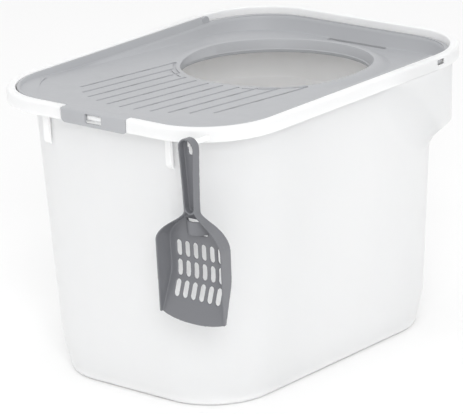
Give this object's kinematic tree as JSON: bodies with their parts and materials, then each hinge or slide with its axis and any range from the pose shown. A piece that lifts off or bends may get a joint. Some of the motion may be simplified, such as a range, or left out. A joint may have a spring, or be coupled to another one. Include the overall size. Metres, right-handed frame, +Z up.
{
  "type": "top-entry cat litter box",
  "caption": "Top-entry cat litter box: rounded white bin with a rolled rim, hinged grey lid with a round entry and grooves, and a hanging slotted scoop.",
  "frame": {"origin": "centre of the bin's flat base", "axes": "+Z up, +Y towards the hinge end, -Y the latch end where the scoop hangs, +X to the right seen from the latch end"},
  "size_m": [0.4245, 0.5535, 0.373],
  "materials": {
    "white_plastic": "satin moulded polypropylene, cool white",
    "grey_plastic": "fine-textured moulded polypropylene, light neutral grey",
    "scoop_plastic": "satin moulded polypropylene, mid grey"
  },
  "bodies": {
    "bin": {"bin": "white_plastic"},
    "lid": {"lid": "grey_plastic"},
    "scoop": {"scoop": "scoop_plastic"}
  },
  "joints": [
    {"name": "lid_hinge", "type": "hinge", "parent": "bin", "child": "lid", "pos_m": [0, 0.157, 0.3654], "axis": [-1, 0, 0], "range_deg": [0, 100]},
    {"name": "scoop_swing", "type": "hinge", "parent": "bin", "child": "scoop", "pos_m": [0.166, -0.2736, 0.365], "axis": [0, -1, 0], "range_deg": [-12, 12]}
  ]
}
